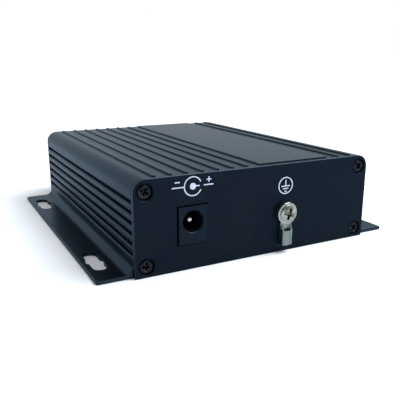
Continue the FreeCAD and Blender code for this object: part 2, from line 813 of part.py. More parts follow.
def ground_lug(x, z):
    """A ring terminal whose tongue runs down into an empty barrel, folded so that one wing laps the other.

    The barrel's mouth is cut aslant, from its front wall up to the tongue.
    """
    back = POWER_FACE
    front = f"{back} - lug_thickness"
    ring = cylinder("lug_ring", "lug_radius", "lug_thickness", x, front, z, ALONG_Y)
    bottom = "lug_barrel_bottom"
    neck_left = f"{x} - lug_neck_width / 2"
    tongue = box("lug_tongue", "lug_neck_width", "lug_thickness", f"{z} - {bottom}", neck_left, front, bottom)
    barrel_height = f"lug_barrel_top - {bottom}"
    full_height = f"{barrel_height} + lug_mouth_rise"
    middle = f"{back} - lug_barrel_depth / 2"
    outside = rectangle("lug_barrel_width", "lug_barrel_depth", "lug_barrel_radius")
    barrel = plan_prism("lug_barrel", outside, full_height, x, middle, bottom)
    inner_width = "lug_barrel_width - 2 * lug_wall"
    inner_depth = "lug_barrel_depth - lug_thickness - lug_wall"
    inside = rectangle(inner_width, inner_depth, "lug_inner_radius")
    inner_middle = f"{front} - ({inner_depth}) / 2"
    barrel_front = f"{back} - lug_barrel_depth"
    aslant = [
        (0, 0),
        ("lug_wall", 0),
        ("lug_barrel_depth - lug_thickness", "lug_mouth_rise"),
        (0, "lug_mouth_rise"),
    ]
    mouth_left = f"{x} - lug_barrel_width / 2"
    seam = f"{x} + lug_seam_place"
    tools = [
        cylinder("lug_hole", "ground_hole_radius", "lug_thickness", x, front, z, ALONG_Y),
        plan_prism("lug_hollow", inside, full_height, x, inner_middle, bottom),
        side_prism("lug_mouth", aslant, "lug_barrel_width", mouth_left, barrel_front, "lug_barrel_top"),
        box("lug_seam", "lug_seam_width", "lug_wall", barrel_height, seam, barrel_front, bottom),
        box("lug_step", "lug_barrel_width", "lug_lap", barrel_height, seam, barrel_front, bottom),
    ]
    # The tongue narrows to the barrel's width below the neck.
    edge_width = "lug_neck_width - lug_barrel_width"
    right_edge = f"{x} + lug_barrel_width / 2"
    left_edge = f"{x} - lug_barrel_width / 2 - ({edge_width})"
    for side, edge in (("right", right_edge), ("left", left_edge)):
        waist = box(f"lug_waist_{side}", edge_width, "lug_thickness", barrel_height, edge, front, bottom)
        tools.append(waist)
    sub_part(cut("lug_cut", fuse("lug_blank", [ring, tongue, barrel]), tools), "ground_lug")


# Circuit board, with a hole for each lead that goes through it


def circuit_board():
    blank = middle_box("board_blank", "board_width", "board_length", "board_thickness", 0, 0, "board_bottom")
    tools = []

    def hole(name, x, y, radius="tail_hole_radius"):
        tools.append(cylinder(name, radius, "board_thickness", x, y, "board_bottom"))

    tab_place = f"{JACK_FACE} + jack_depth + jack_tab_thickness / 2"
    hole("pin_tab_hole", "jack_across", tab_place, "jack_tail_hole_radius")
    hole("spring_leg_hole", "jack_across", f"{JACK_FACE} + jack_tail_place", "jack_tail_hole_radius")
    for i in range(VIDEO_JACKS):
        x = f"video_first - {i} * video_pitch"
        hole(f"contact_hole_{i + 1}", x, f"{PORT_FACE} - contact_tail_place")
        for sign, side in ((1, "right"), (-1, "left")):
            post = f"{x} + {sign} * video_post_across"
            hole(f"post_hole_{side}_{i + 1}", post, f"{PORT_FACE} - video_post_place")
    for i in range(STATUS_LIGHTS):
        for sign, side in ((1, "right"), (-1, "left")):
            x = f"light_across + {sign} * light_lead_across"
            hole(f"light_hole_{side}_{i + 1}_lead", x, light_bend(i), "light_lead_width")
    sub_part(cut("board_cut", blank, tools), "circuit_board")


def light_bend(i):
    """Where the leads of status light i turn down: the higher the light, the further back."""
    return f"{PORT_FACE} - light_back - light_lead_first - {i} * light_lead_step"


# Video sockets: turned shell with two bayonet lugs, an insulator and a socket contact


def video_shell():
    corners = [
        ("video_core_radius", "-video_back_length"),
        ("video_back_radius", "-video_back_length", "video_edge_radius"),
        ("video_back_radius", "-panel_thickness"),
        ("video_thread_radius", "-panel_thickness"),
        ("video_thread_radius", "video_thread_length", "video_edge_radius"),
        ("video_neck_radius", "video_thread_length"),
        ("video_neck_radius", "video_barrel_start"),
        ("video_barrel_radius", "video_barrel_start"),
        ("video_barrel_radius", "video_length", "video_edge_radius"),
        ("video_bore_radius", "video_length"),
        ("video_bore_radius", "video_bore_end"),
        ("video_core_radius", "video_bore_end"),
    ]
    pieces = [turned("video_shell_body", corners)]
    lug_length = "video_lug_reach - video_lug_root"
    bottom = f"{TAIL_END} - port_axis"
    height = f"-({bottom}) - video_post_root"
    for sign, side in ((1, "right"), (-1, "left")):
        turn = FreeCAD.Rotation(Y_AXIS, 90 * sign)
        x = f"{sign} * video_lug_root"
        y = "video_lug_place"
        pieces.append(cylinder(f"video_lug_{side}", "video_lug_radius", lug_length, x, y, 0, turn))
        x = f"{sign} * video_post_across"
        y = "-video_post_place"
        pieces.append(cylinder(f"video_post_{side}", "video_post_radius", height, x, y, bottom))
    return fuse("video_shell", pieces)


def video_insulator():
    corners = [
        ("contact_radius", "-video_back_length"),
        ("video_core_radius", "-video_back_length"),
        ("video_core_radius", "video_bore_end"),
        ("video_nose_radius", "video_bore_end"),
        ("video_nose_radius", "video_nose_end", "video_edge_radius"),
        ("contact_radius", "video_nose_end"),
    ]
    return turned("video_insulator", corners)


def video_contact():
    end = "contact_tail_place + contact_radius"
    hole_end = "contact_end - contact_hole_depth"
    corners = [
        (0, f"-({end})"),
        ("contact_radius", f"-({end})"),
        ("contact_radius", "contact_end"),
        ("contact_hole_radius", "contact_end"),
        ("contact_hole_radius", hole_end),
        (0, hole_end),
    ]
    bottom = f"{TAIL_END} - port_axis"
    y = "-contact_tail_place"
    tail = cylinder("video_contact_tail", "contact_tail_radius", f"-({bottom})", 0, y, bottom)
    return fuse("video_contact", [turned("video_contact_body", corners), tail])


def video_jacks():
    masters = {"shell": video_shell(), "insulator": video_insulator(), "contact": video_contact()}
    thickness = "video_washer_thickness"
    rim = "video_washer_radius"
    washer = split_washer("video_washer", rim, "video_hole_radius", thickness, "lock_washer_gap")
    flat_nut = nut("video_hex", "video_nut_flats", "video_nut_height", "video_thread_radius")
    washers = []
    nuts = []
    for i in range(VIDEO_JACKS):
        x = f"video_first - {i} * video_pitch"
        for word, master in masters.items():
            node = f"video_jack_{i + 1}_{word}"
            sub_part(copy(f"{node}_copy", master, x, PORT_FACE, "port_axis"), node)
        washers.append(copy(f"video_washer_{i + 1}", washer, x, PORT_FACE, "port_axis"))
        nuts.append(copy(f"video_nut_{i + 1}", flat_nut, x, f"{PORT_FACE} + {thickness}", "port_axis"))
    sub_part(compound("video_washer_group", washers), "video_jack_washers")
    sub_part(compound("video_nut_group", nuts), "video_jack_nuts")


# Fibre socket and the optical transceiver behind it


def fibre_port():
    x = "fibre_across"
    z = "port_axis"
    corners = [
        ("fibre_sleeve_radius", "-fibre_back_length"),
        ("fibre_back_radius", "-fibre_back_length", "fibre_edge_radius"),
        ("fibre_back_radius", 0),
        ("fibre_flange_radius", 0),
        ("fibre_flange_radius", "fibre_flange_height", "fibre_edge_radius"),
        ("fibre_thread_radius", "fibre_flange_height"),
        ("fibre_thread_radius", "fibre_thread_end", "fibre_edge_radius"),
        ("fibre_bore_radius", "fibre_thread_end"),
        ("fibre_bore_radius", "fibre_bore_end"),
        ("fibre_sleeve_radius", "fibre_bore_end"),
    ]
    key_start = "fibre_thread_end - fibre_key_length"
    key_left = "-fibre_key_width / 2"
    key_height = "fibre_thread_radius"
    key = box("fibre_key", "fibre_key_width", "fibre_key_length", key_height, key_left, key_start, 0)
    body = cut("fibre_body", turned("fibre_body_turned", corners), [key])
    sub_part(place(body, x, PORT_FACE, z), "fibre_port_body")

    tube = [
        ("ferrule_radius", "-fibre_sleeve_back"),
        ("fibre_sleeve_radius", "-fibre_sleeve_back"),
        ("fibre_sleeve_radius", "fibre_sleeve_end"),
        ("ferrule_radius", "fibre_sleeve_end"),
    ]
    slit_length = "fibre_sleeve_back + fibre_sleeve_end"
    slit_left = "-fibre_sleeve_gap / 2"
    slit_start = "-fibre_sleeve_back"
    slit_height = "fibre_sleeve_radius"
    slit = box("sleeve_slit", "fibre_sleeve_gap", slit_length, slit_height, slit_left, slit_start, 0)
    sleeve = cut("fibre_sleeve", turned("fibre_sleeve_tube", tube), [slit])
    sub_part(place(sleeve, x, PORT_FACE, z), "fibre_port_sleeve")

    thickness = "fibre_washer_thickness"
    rim = "fibre_nut_flats / 2"
    washer = split_washer("fibre_ring", rim, "fibre_hole_radius", thickness, "lock_washer_gap")
    sub_part(place(washer, x, f"{HALF_LENGTH} - {thickness}", z), "fibre_port_washer")
    nut_back = f"{HALF_LENGTH} - {thickness} - fibre_nut_height"
    back_nut = nut("fibre_hex", "fibre_nut_flats", "fibre_nut_height", "fibre_back_radius")
    sub_part(place(back_nut, x, nut_back, z), "fibre_port_nut")


def optical_transceiver():
    """A metal block on the board that holds a fibre end, a laser in a can and a detector in a can."""
    x = "fibre_across"
    z = "port_axis"
    front = f"{PORT_FACE} - optic_front"
    back = f"{front} - optic_length"
    middle = f"{front} - optic_length / 2"
    footprint = rectangle("optic_width", "optic_length", "optic_edge_radius")
    block = plan_prism("optic_block", footprint, "optic_height", x, middle, BOARD_TOP)
    reach = "ferrule_length - optic_front"
    start = f"{PORT_FACE} - ferrule_length"
    seat = cylinder("optic_seat", "ferrule_radius", reach, x, start, z, ALONG_Y)
    sub_part(cut("optic_block_cut", block, [seat]), "optical_block")
    rod = cylinder("ferrule_rod", "ferrule_radius", "ferrule_length", x, start, z, ALONG_Y)
    sub_part(rod, "fibre_ferrule")
    side = f"{x} + optic_width / 2"
    sub_part(lead_can("laser", x, back, z, UPRIGHT), "laser_can")
    sub_part(lead_can("detector", side, middle, z, FreeCAD.Rotation(Z_AXIS, 90)), "detector_can")


def lead_can(name, x, y, z, turn):
    """A round metal can with a rim, from y 0 back along -Y, on three leads to the board."""
    corners = [
        (0, 0),
        ("can_radius", 0),
        ("can_radius", "can_rim_height - can_length"),
        ("can_rim_radius", "can_rim_height - can_length"),
        ("can_rim_radius", "-can_length"),
        (0, "-can_length"),
    ]
    pieces = [turned(f"{name}_can_body", corners)]
    drop = f"port_axis - ({BOARD_TOP})"
    width = "can_lead_width"
    end = "-can_length - can_lead_run"
    for i in (-1, 0, 1):
        left = f"{i} * can_lead_pitch - {width} / 2"
        pieces.append(box(f"{name}_run_{i + 1}", width, "can_lead_run", width, left, end, 0))
        pieces.append(box(f"{name}_fall_{i + 1}", width, width, f"{drop} + {width}", left, end, f"-({drop})"))
    return place(fuse(f"{name}_can", pieces), x, y, z, turn)


# Status lights


def status_lights():
    corners = [
        (0, "-light_back"),
        ("light_rim_radius", "-light_back"),
        ("light_rim_radius", "light_rim_height - light_back"),
        ("light_radius", "light_rim_height - light_back"),
        ("light_radius", "light_end", "light_dome"),
        (0, "light_end"),
    ]
    lens = turned("light_lens", corners)
    leads = []
    width = "light_lead_width"
    for i in range(STATUS_LIGHTS):
        z = f"light_low + {i} * light_pitch"
        sub_part(copy(f"light_{i + 1}_copy", lens, "light_across", PORT_FACE, z), f"status_light_{i + 1}")
        bend = light_bend(i)
        run_length = f"light_lead_first + {i} * light_lead_step + {width} / 2"
        for sign, side in ((1, "right"), (-1, "left")):
            x = f"light_across + {sign} * light_lead_across"
            name = f"light_lead_{side}_{i + 1}"
            middle = f"{bend} - {width} / 2 + ({run_length}) / 2"
            run = middle_box(f"{name}_run", width, run_length, width, x, middle, f"{z} - {width} / 2")
            fall = middle_box(f"{name}_fall", width, width, f"{z} - ({TAIL_END})", x, bend, TAIL_END)
            leads.append(fuse(name, [run, fall]))
    sub_part(compound("light_lead_group", leads), "status_light_leads")


# Parts that stand on the board


def board_parts():
    edge = "chip_edge_radius"
    chip = rectangle("processor_size", "processor_size", edge)
    x = "processor_across"
    body = plan_prism("processor_body", chip, "processor_height", x, "processor_along", BOARD_TOP)
    mark_x = "processor_across - processor_size / 2 + mark_inset"
    mark_y = "processor_along - processor_size / 2 + mark_inset"
    mark_z = f"{BOARD_TOP} + processor_height - mark_depth"
    mark = cylinder("processor_mark", "mark_radius", "mark_depth", mark_x, mark_y, mark_z)
    sub_part(cut("processor_cut", body, [mark]), "processor_chip")
    chip = rectangle("video_chip_size", "video_chip_size", edge)
    small = plan_prism("video_chip", chip, "video_chip_height")
    for i in range(VIDEO_JACKS):
        x = f"video_first - {i} * video_pitch"
        node = f"video_chip_{i + 1}"
        sub_part(copy(f"{node}_copy", small, x, "video_chip_along", BOARD_TOP), node)
    can = rectangle("crystal_length", "crystal_width", "crystal_edge_radius")
    crystal = plan_prism("crystal_body", can, "crystal_height", "crystal_across", "crystal_along", BOARD_TOP)
    sub_part(crystal, "crystal_can")
    core = rectangle("inductor_size", "inductor_size", "inductor_edge_radius")
    x = "inductor_across"
    coil = plan_prism("inductor_core", core, "inductor_height", x, "inductor_along", BOARD_TOP)
    sub_part(coil, "power_inductor")
    can = cylinder("capacitor_body", "capacitor_radius", "capacitor_height", 0, 0, 0)
    ring = doc.addObject("Part::Torus", "capacitor_ring")
    bind(ring, Radius1="capacitor_radius + capacitor_groove / 2", Radius2="capacitor_groove")
    place(ring, z="capacitor_groove_height")
    capacitor = cut("capacitor", can, [ring])
    for i in range(CAPACITORS):
        x = f"capacitor_first + {i} * capacitor_pitch"
        node = f"filter_capacitor_{i + 1}"
        sub_part(copy(f"{node}_copy", capacitor, x, "capacitor_along", BOARD_TOP), node)
    regulator()


def regulator():
    x = "regulator_across"
    y = "regulator_along"
    width = "regulator_width"
    body = middle_box("regulator_body", width, "regulator_length", "regulator_height", x, y, BOARD_TOP)
    plate = "regulator_plate"
    tab_length = "regulator_tab_length"
    tab_y = f"{y} + (regulator_length + {tab_length}) / 2"
    tab = middle_box("regulator_tab", "regulator_tab_width", tab_length, plate, x, tab_y, BOARD_TOP)
    pieces = [body, tab]
    lead_length = "regulator_lead_length"
    lead_y = f"{y} - (regulator_length + {lead_length}) / 2"
    for i in (-1, 1):
        lead_x = f"{x} + {i} * regulator_lead_across"
        name = f"regulator_lead_{i + 1}"
        pieces.append(middle_box(name, "regulator_lead_width", lead_length, plate, lead_x, lead_y, BOARD_TOP))
    sub_part(fuse("regulator_all", pieces), "regulator")


def build():
    housing()
    blank = panel_blank()
    sink = panel_sink()
    power_panel(blank, sink)
    port_panel(blank, sink)
    screw = panel_screw()
    panel_screws(screw, "power_panel_screws", f"{POWER_FACE} + screw_recess", UPRIGHT)
    panel_screws(screw, "port_panel_screws", f"{PORT_FACE} - screw_recess", HALF_TURN)
    dc_jack()
    ground_terminal()
    circuit_board()
    video_jacks()
    fibre_port()
    optical_transceiver()
    status_lights()
    board_parts()
    doc.recompute()


def check():
    """Stops before anything is written if an object failed or a sub-part isn't a valid solid."""
    for obj in doc.Objects:
        if "Invalid" in obj.State or "Error" in obj.State:
            raise RuntimeError(f"{obj.Label} failed: {obj.State}")
    for obj in sub_parts:
        if obj.Shape.isNull() or not obj.Shape.isValid() or not obj.Shape.Solids:
            raise RuntimeError(f"{obj.Label} isn't a valid solid")


def export():
    os.makedirs("parts", exist_ok=True)
    for obj in sub_parts:
        obj.Shape.exportStep(os.path.join("parts", f"{obj.Label}.step"))
        print(obj.Label, len(obj.Shape.Solids), "solids", round(obj.Shape.Volume, 2), "mm3")


build()
check()
export()
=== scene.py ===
import json
import math

import bmesh
import bpy
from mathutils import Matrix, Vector


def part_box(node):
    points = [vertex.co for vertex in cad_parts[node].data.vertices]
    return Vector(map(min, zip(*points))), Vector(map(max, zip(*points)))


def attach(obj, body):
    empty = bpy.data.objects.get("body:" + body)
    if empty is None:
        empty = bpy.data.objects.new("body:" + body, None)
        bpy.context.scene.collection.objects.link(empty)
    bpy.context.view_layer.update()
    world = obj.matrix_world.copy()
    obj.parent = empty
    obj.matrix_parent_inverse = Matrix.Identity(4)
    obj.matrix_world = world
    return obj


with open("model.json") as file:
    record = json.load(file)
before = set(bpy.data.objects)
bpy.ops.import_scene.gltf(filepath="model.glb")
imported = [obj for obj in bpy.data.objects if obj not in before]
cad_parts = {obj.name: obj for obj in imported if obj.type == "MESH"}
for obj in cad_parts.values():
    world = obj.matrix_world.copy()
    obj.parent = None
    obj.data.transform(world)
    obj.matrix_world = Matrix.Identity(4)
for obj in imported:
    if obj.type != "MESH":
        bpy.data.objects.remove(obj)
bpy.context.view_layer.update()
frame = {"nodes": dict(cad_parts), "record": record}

# Fibre optic video converter: a black ribbed aluminium box with a power socket and an earth terminal on
# its near end and video and fibre sockets on its far end. Lengths are in millimetres, apart from those of the
# floor and the lamp, which are in metres.
MM = 0.001
nodes = frame["nodes"]
SLOT_OF = {part["node"]: part["material_slot"] for part in frame["record"]["subparts"]}

# Places on the object, read from the CAD pieces
PANEL_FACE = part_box("power_panel")[0].y / MM
PORT_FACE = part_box("port_panel")[1].y / MM


# Materials


def colour(code):
    """An sRGB hex value as linear light, with full alpha."""
    channels = [int(code[i:i + 2], 16) / 255 for i in (1, 3, 5)]
    return [c / 12.92 if c <= 0.04045 else ((c + 0.055) / 1.055) ** 2.4 for c in channels] + [1.0]


def add(tree, kind, inputs, **settings):
    """Adds a node with its settings. Each input is a value, or the output of another node."""
    made = tree.nodes.new(f"ShaderNode{kind}")
    for name, value in settings.items():
        setattr(made, name, value)
    for name, value in inputs.items():
        if isinstance(value, bpy.types.NodeSocket):
            tree.links.new(value, made.inputs[name])
        else:
            made.inputs[name].default_value = value
    return made


# Noise keeps to the middle of its range. These shares of it are spread over a material's two tones.
PATCH_LOW = 0.3
PATCH_HIGH = 0.7
PATCH_DETAIL = 3.0
GRAIN_DETAIL = 2.0
# Sockets of a mix node for colours: the share of the second colour, the two colours and the result
MIX_SHARE = 0
MIX_FROM = 6
MIX_TO = 7
MIX_RESULT = 2


def surface(name, tones, roughness, patch, grain, height, stretch=(1, 1, 1), **fixed):
    """A material that drifts between two tones and two roughnesses over patches, with a fine raised grain.

    patch and grain are sizes and height is a depth, all in millimetres. stretch draws the pattern out along
    an axis. The rest are the shader's own values.
    """
    made = bpy.data.materials.new(name)
    made.use_nodes = True
    tree = made.node_tree
    shader = tree.nodes["Principled BSDF"]
    place = add(tree, "TexCoord", {}).outputs["Object"]
    scale = [1 / (drawn_out * MM) for drawn_out in stretch]
    drawn = add(tree, "Mapping", {"Vector": place, "Scale": scale}).outputs["Vector"]
    drift = add(tree, "TexNoise", {
        "Vector": drawn, "Scale": 1 / patch, "Detail": PATCH_DETAIL,
    }).outputs["Fac"]
    spread = add(tree, "MapRange", {
        "Value": drift, "From Min": PATCH_LOW, "From Max": PATCH_HIGH,
    }).outputs["Result"]
    tone = add(tree, "Mix", {
        MIX_SHARE: spread, MIX_FROM: colour(tones[0]), MIX_TO: colour(tones[1]),
    }, data_type="RGBA")
    tree.links.new(tone.outputs[MIX_RESULT], shader.inputs["Base Color"])
    gloss = add(tree, "MapRange", {"Value": spread, "To Min": roughness[0], "To Max": roughness[1]})
    tree.links.new(gloss.outputs["Result"], shader.inputs["Roughness"])
    speck = add(tree, "TexNoise", {
        "Vector": drawn, "Scale": 1 / grain, "Detail": GRAIN_DETAIL,
    }).outputs["Fac"]
    bump = add(tree, "Bump", {"Height": speck, "Distance": height * MM, "Strength": 1.0})
    tree.links.new(bump.outputs["Normal"], shader.inputs["Normal"])
    for socket, value in fixed.items():
        shader.inputs[socket.replace("_", " ")].default_value = value
    return made


def overlay(material, factor, tone):
    """Changes a material's colour to one tone where a factor is 1, and leaves it where the factor is 0."""
    tree = material.node_tree
    target = tree.nodes["Principled BSDF"].inputs["Base Color"]
    below = target.links[0].from_socket
    mixed = add(tree, "Mix", {
        MIX_SHARE: factor, MIX_FROM: below, MIX_TO: colour(tone),
    }, data_type="RGBA")
    tree.links.new(mixed.outputs[MIX_RESULT], target)


# Shares of open sky that a deep hollow and the edge of a hollow see, between which shade is painted into
# hollows
HOLLOW_DEEP = 0.4
HOLLOW_EDGE = 0.75
HOLLOW_SAMPLES = 8


def painted_recess_shade(material, tone, reach):
    """Paints shade into a material's hollows narrower than a reach, darker where less open sky reaches them.
    """
    tree = material.node_tree
    sky = add(tree, "AmbientOcclusion", {"Distance": reach * MM}, only_local=True, samples=HOLLOW_SAMPLES)
    hollow = add(tree, "MapRange", {
        "Value": sky.outputs["AO"], "From Min": HOLLOW_DEEP, "From Max": HOLLOW_EDGE,
        "To Min": 1.0, "To Max": 0.0,
    })
    overlay(material, hollow.outputs["Result"], tone)


def painted_rim_highlight(material, tone, corner, width):
    """Paints a highlight on the end panels' rim at the top and sides, by the top corners' radius and the
    rim's width.
    """
    tree = material.node_tree
    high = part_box("power_panel")[1]
    middle = (high.x - corner * MM, 1.0, high.z - corner * MM)
    place = add(tree, "TexCoord", {}).outputs["Object"]
    away = add(tree, "VectorMath", {0: place}, operation="ABSOLUTE").outputs[0]
    away = add(tree, "VectorMath", {0: away, 1: middle}, operation="SUBTRACT").outputs[0]
    away = add(tree, "VectorMath", {0: away, 1: (0, 0, 0)}, operation="MAXIMUM").outputs[0]
    away = add(tree, "VectorMath", {0: away}, operation="LENGTH").outputs["Value"]
    rim_highlight = add(tree, "Math", {0: away, 1: (corner - width) * MM}, operation="GREATER_THAN").outputs[0]
    overlay(material, rim_highlight, tone)


# The dyed film on black anodising takes up light on its way in and out, so that even at a low angle the metal
# mirrors less of it than bare metal does, tinted blue.
DYED_FILM = colour("#ccd7e0")
# Aluminium, extruded, fine blasted and dyed black by anodising: a satin blue-black that turns grey where it
# is seen at a low angle, with a fine even grain. The grain is drawn several times as coarse as the real one.
anodised = surface(
    "black_anodised_extrusion", ("#282f38", "#2a323b"), roughness=(0.32, 0.35), patch=1.2, grain=0.3,
    height=0.006, Metallic=1.0, Specular_Tint=DYED_FILM,
)
# Aluminium sheet, cut and anodised black: darker and duller than the extrusion, more even, with a highlight
# painted along its cut rim.
panel_black = surface(
    "black_anodised_sheet", ("#151c27", "#182029"), roughness=(0.46, 0.52), patch=6.0, grain=0.4,
    height=0.003, Metallic=1.0, Specular_Tint=DYED_FILM,
)
PANEL_CORNER = 4.0
RIM_HIGHLIGHT_WIDTH = 0.07
# Painted highlight: a pale line along the panel's rim, where its chamfer catches the light.
painted_rim_highlight(panel_black, "#39424c", PANEL_CORNER, RIM_HIGHLIGHT_WIDTH)
# Steel screw, cold headed and black oxided: blue-black, with an oily gloss on its high spots, and with shade
# painted nearly black into its recess. Its small dents are drawn coarser than the real ones.
black_oxide = surface(
    "black_oxide_screw", ("#070c13", "#303338"), roughness=(0.16, 0.32), patch=0.8, grain=0.5, height=0.06,
    Metallic=1.0, Specular_Tint=DYED_FILM,
)
# Painted shade: the screw's recess and other hollows are darkened to near black.
painted_recess_shade(black_oxide, "#060607", 1.6)
# ABS, moulded in a spark-eroded tool: black with a fine even matt grain.
moulded_black = surface(
    "moulded_black_plastic", ("#070d15", "#0a111a"), roughness=(0.40, 0.46), patch=2.0, grain=0.25,
    height=0.004, IOR=1.53, Specular_IOR_Level=0.2, Specular_Tint=colour("#95bbef"),
)
# Steel screw and washer, cold headed and bright zinc plated: a greenish silver, a little uneven, and dark
# brown in a recess, partly the thin plating's own brown and partly painted shade.
zinc_plate = surface(
    "bright_zinc_plate", ("#868d89", "#a0a6a2"), roughness=(0.20, 0.30), patch=0.8, grain=0.2, height=0.002,
    Metallic=1.0,
)
# Painted shade, tinted brown: hollows such as the head's cross recess are darkened.
painted_recess_shade(zinc_plate, "#453d2f", 2.0)
# Copper strip, stamped, folded and tin plated: pale grey, duller than zinc, with rolling marks along it.
tin_plate = surface(
    "tin_plated_strip", ("#6d7978", "#7f8c8b"), roughness=(0.26, 0.38), patch=0.7, grain=0.15, height=0.005,
    stretch=(1, 1, 6), Metallic=1.0,
)
# Brass, turned and nickel plated: bright, slightly warm, with fine tool rings round it.
nickel_plate = surface(
    "nickel_plated_turning", ("#b6b1a6", "#cbc7bd"), roughness=(0.16, 0.24), patch=1.2, grain=0.12,
    height=0.003, stretch=(8, 1, 8), Metallic=1.0,
)
# Brass, turned and gold flashed: warm yellow and smooth.
gold_flash = surface(
    "gold_flashed_turning", ("#c79a4a", "#dcb15c"), roughness=(0.16, 0.24), patch=0.6, grain=0.12,
    height=0.002, Metallic=1.0,
)
# Fluoropolymer, turned: a waxy white that lets a little light in.
waxy_white = surface(
    "turned_fluoropolymer", ("#dedbd0", "#e8e6de"), roughness=(0.40, 0.50), patch=1.5, grain=0.2,
    height=0.004, IOR=1.35, Subsurface_Weight=0.2, Subsurface_Scale=0.5 * MM,
)
# Zirconia, ground: white, dense and smooth.
ground_ceramic = surface(
    "ground_zirconia", ("#e4e3de", "#efeeea"), roughness=(0.14, 0.20), patch=1.0, grain=0.15, height=0.001,
    IOR=2.1,
)
# Epoxy, cast and tinted: a clear glossy lens that is darker in its depth.
green_lens = surface(
    "cast_green_epoxy", ("#2f8f4a", "#3da85a"), roughness=(0.06, 0.10), patch=1.5, grain=0.5, height=0.001,
    IOR=1.54, Transmission_Weight=0.55,
)
red_lens = surface(
    "cast_red_epoxy", ("#a8231c", "#c22f24"), roughness=(0.06, 0.10), patch=1.5, grain=0.5, height=0.001,
    IOR=1.54, Transmission_Weight=0.55,
)
# Glass cloth laminate under solder mask: glossy green, a little uneven over the cloth.
solder_mask = surface(
    "green_solder_mask", ("#0f4a26", "#14602f"), roughness=(0.24, 0.34), patch=1.0, grain=0.5, height=0.010,
    IOR=1.55,
)
# Epoxy, transfer moulded: a matt charcoal.
chip_epoxy = surface(
    "moulded_chip_epoxy", ("#202123", "#28292b"), roughness=(0.55, 0.65), patch=1.0, grain=0.15,
    height=0.004,
)
# Ferrite, pressed and fired: a dry grey-black with fine pits.
fired_ferrite = surface(
    "fired_ferrite", ("#333436", "#404143"), roughness=(0.60, 0.75), patch=0.8, grain=0.2, height=0.015,
)
# Aluminium, deep drawn: a soft silver with draw marks up its side.
drawn_can = surface(
    "drawn_aluminium_can", ("#c3c4c4", "#d6d7d6"), roughness=(0.26, 0.36), patch=0.8, grain=0.15,
    height=0.004, stretch=(1, 1, 8), Metallic=1.0,
)
# Screen ink: a bluish white, flat and a little uneven.
white_ink = surface(
    "screen_printed_white_ink", ("#bccbe0", "#ccd8ea"), roughness=(0.45, 0.55), patch=0.8, grain=0.2,
    height=0.004,
)

FINISHES = {
    "anodised_extrusion": anodised,
    "anodised_panel": panel_black,
    "black_screw": black_oxide,
    "black_moulding": moulded_black,
    "nickel_plate": nickel_plate,
    "tin_plate": tin_plate,
    "zinc_screw": zinc_plate,
    "circuit_laminate": solder_mask,
    "white_insulator": waxy_white,
    "gold_plate": gold_flash,
    "white_ceramic": ground_ceramic,
    "light_green": green_lens,
    "light_red": red_lens,
    "chip_moulding": chip_epoxy,
    "ferrite": fired_ferrite,
    "capacitor_can": drawn_can,
}
for name, piece in nodes.items():
    piece.data.materials.clear()
    piece.data.materials.append(FINISHES[SLOT_OF[name]])


# Edges of the CAD pieces


JOIN_DISTANCE = 0.0005
SHARP_ANGLE = math.radians(40)
BEVEL_STEPS = 2


def joined_corners():
    """A modifier that joins a CAD piece's split corners and drops its stored normals."""
    group = bpy.data.node_groups.new("joined_corners", "GeometryNodeTree")
    group.interface.new_socket("Mesh", in_out="INPUT", socket_type="NodeSocketGeometry")
    group.interface.new_socket("Mesh", in_out="OUTPUT", socket_type="NodeSocketGeometry")
    given = group.nodes.new("NodeGroupInput")
    bare = group.nodes.new("GeometryNodeRemoveAttribute")
    bare.inputs["Name"].default_value = "custom_normal"
    joined = group.nodes.new("GeometryNodeMergeByDistance")
    joined.inputs["Distance"].default_value = JOIN_DISTANCE * MM
    smooth = group.nodes.new("GeometryNodeSetShadeSmooth")
    result = group.nodes.new("NodeGroupOutput")
    group.links.new(given.outputs[0], bare.inputs["Geometry"])
    group.links.new(bare.outputs[0], joined.inputs["Geometry"])
    group.links.new(joined.outputs[0], smooth.inputs["Geometry"])
    group.links.new(smooth.outputs[0], result.inputs[0])
    return group


JOINED_CORNERS = joined_corners()


def break_edges(name, width):
    """Rounds the sharp edges of a CAD piece by a width, as tumbling, coating or a cutter leaves them."""
    piece = nodes[name]
    piece.modifiers.new("joined_corners", "NODES").node_group = JOINED_CORNERS
    bevel = piece.modifiers.new("broken_edges", "BEVEL")
    bevel.width = width * MM
    bevel.segments = BEVEL_STEPS
    bevel.limit_method = "ANGLE"
    bevel.angle_limit = SHARP_ANGLE
    piece.modifiers.new("flat_faces", "WEIGHTED_NORMAL")


BROKEN_EDGES = {
    "housing": 0.12,
    "dc_jack_housing": 0.12,
    "ground_washer": 0.2,
    "ground_screw": 0.06,
    "power_panel_screws": 0.1,
    "port_panel_screws": 0.1,
    "ground_lug": 0.08,
    "video_jack_nuts": 0.08,
}
for name, width in BROKEN_EDGES.items():
    break_edges(name, width)


# Pieces that the CAD leaves to this script


def in_scene(name, mesh, finish):
    """Turns a mesh into a named piece of the scene that rides on the part."""
    bmesh.ops.recalc_face_normals(mesh, faces=mesh.faces[:])
    data = bpy.data.meshes.new(name)
    mesh.to_mesh(data)
    mesh.free()
    data.materials.append(finish)
    piece = bpy.data.objects.new(name, data)
    bpy.context.scene.collection.objects.link(piece)
    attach(piece, "root")


# Printed signs


def bar(left, low, right, high):
    return [[(left, low), (right, low), (right, high), (left, high)]]


def arc(across, up, radius, start, end, steps=40):
    """Points on an arc, from one angle in degrees to another."""
    points = []
    for i in range(steps + 1):
        angle = math.radians(start + (end - start) * i / steps)
        points.append((across + radius * math.cos(angle), up + radius * math.sin(angle)))
    return points


def disc(across, up, radius):
    return [arc(across, up, radius, 0, 360)[:-1]]


def ring(across, up, radius, stroke):
    return disc(across, up, radius) + disc(across, up, radius - stroke)


def open_ring(across, up, radius, stroke, gap):
    """A ring with a gap on its right, given as half the gap's angle."""
    outer = arc(across, up, radius, gap, 360 - gap)
    inner = arc(across, up, radius - stroke, 360 - gap, gap)
    return [outer + inner]


INK_THICKNESS = 0.03


